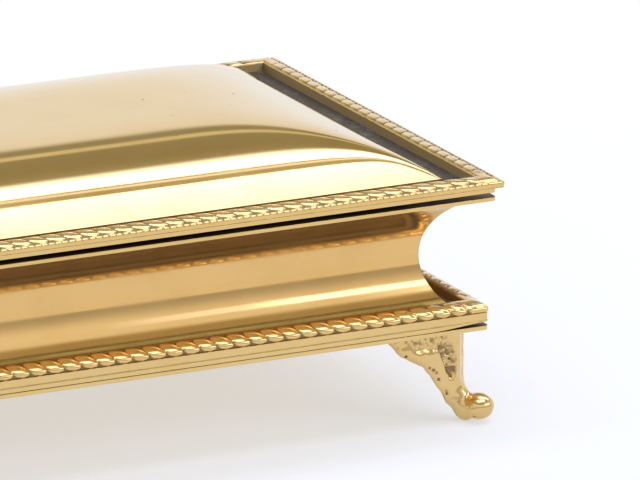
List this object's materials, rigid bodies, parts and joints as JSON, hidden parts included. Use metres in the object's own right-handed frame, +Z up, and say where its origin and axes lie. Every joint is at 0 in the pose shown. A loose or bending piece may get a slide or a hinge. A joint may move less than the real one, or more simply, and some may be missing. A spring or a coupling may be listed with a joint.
{
  "type": "hinged table box",
  "caption": "Brass table box with a hinged domed lid, concave walls, gadrooned mouldings and cast cabriole feet, lined with wood for papers and keepsakes.",
  "frame": {"origin": "on the floor under the middle of the box", "axes": "+X along the length of the box, -Y the front that the picture shows, +Z up"},
  "size_m": [0.2, 0.13, 0.0774],
  "materials": {
    "brass_polished": "mirror-polished sheet with fine wiping scratches",
    "brass_cast": "cast and polished on the high places, dark in the recesses",
    "brass_sheet": "satin sheet, tarnished where no cloth reaches",
    "steel": "dull drawn wire and turned screws",
    "cedar": "thin planed cedar, lightly waxed"
  },
  "bodies": {
    "case": {"bottom_plate": "brass_sheet", "rim_plate": "brass_sheet", "foot_screws": "steel", "liner_floor": "cedar", "base_moulding_front": "brass_cast", "wall_front": "brass_polished", "liner_front": "cedar", "base_moulding_back": "brass_cast", "wall_back": "brass_polished", "liner_back": "cedar", "base_moulding_left": "brass_cast", "wall_left": "brass_polished", "liner_left": "cedar", "base_moulding_right": "brass_cast", "wall_right": "brass_polished", "liner_right": "cedar", "foot_front_left": "brass_cast", "foot_front_right": "brass_cast", "foot_back_left": "brass_cast", "foot_back_right": "brass_cast", "hinge_left_case_leaf": "brass_sheet", "hinge_left_pin": "steel", "hinge_right_case_leaf": "brass_sheet", "hinge_right_pin": "steel"},
    "lid": {"lid_plate": "brass_sheet", "lid_dome": "brass_polished", "lid_moulding_front": "brass_cast", "lid_moulding_back": "brass_cast", "lid_moulding_left": "brass_cast", "lid_moulding_right": "brass_cast", "hinge_left_lid_leaf": "brass_sheet", "hinge_right_lid_leaf": "brass_sheet"}
  },
  "joints": [
    {"name": "lid_hinge", "type": "hinge", "parent": "case", "child": "lid", "pos_m": [0, 0.06365, 0.0611], "axis": [-1, 0, 0], "range_deg": [0, 100]}
  ]
}
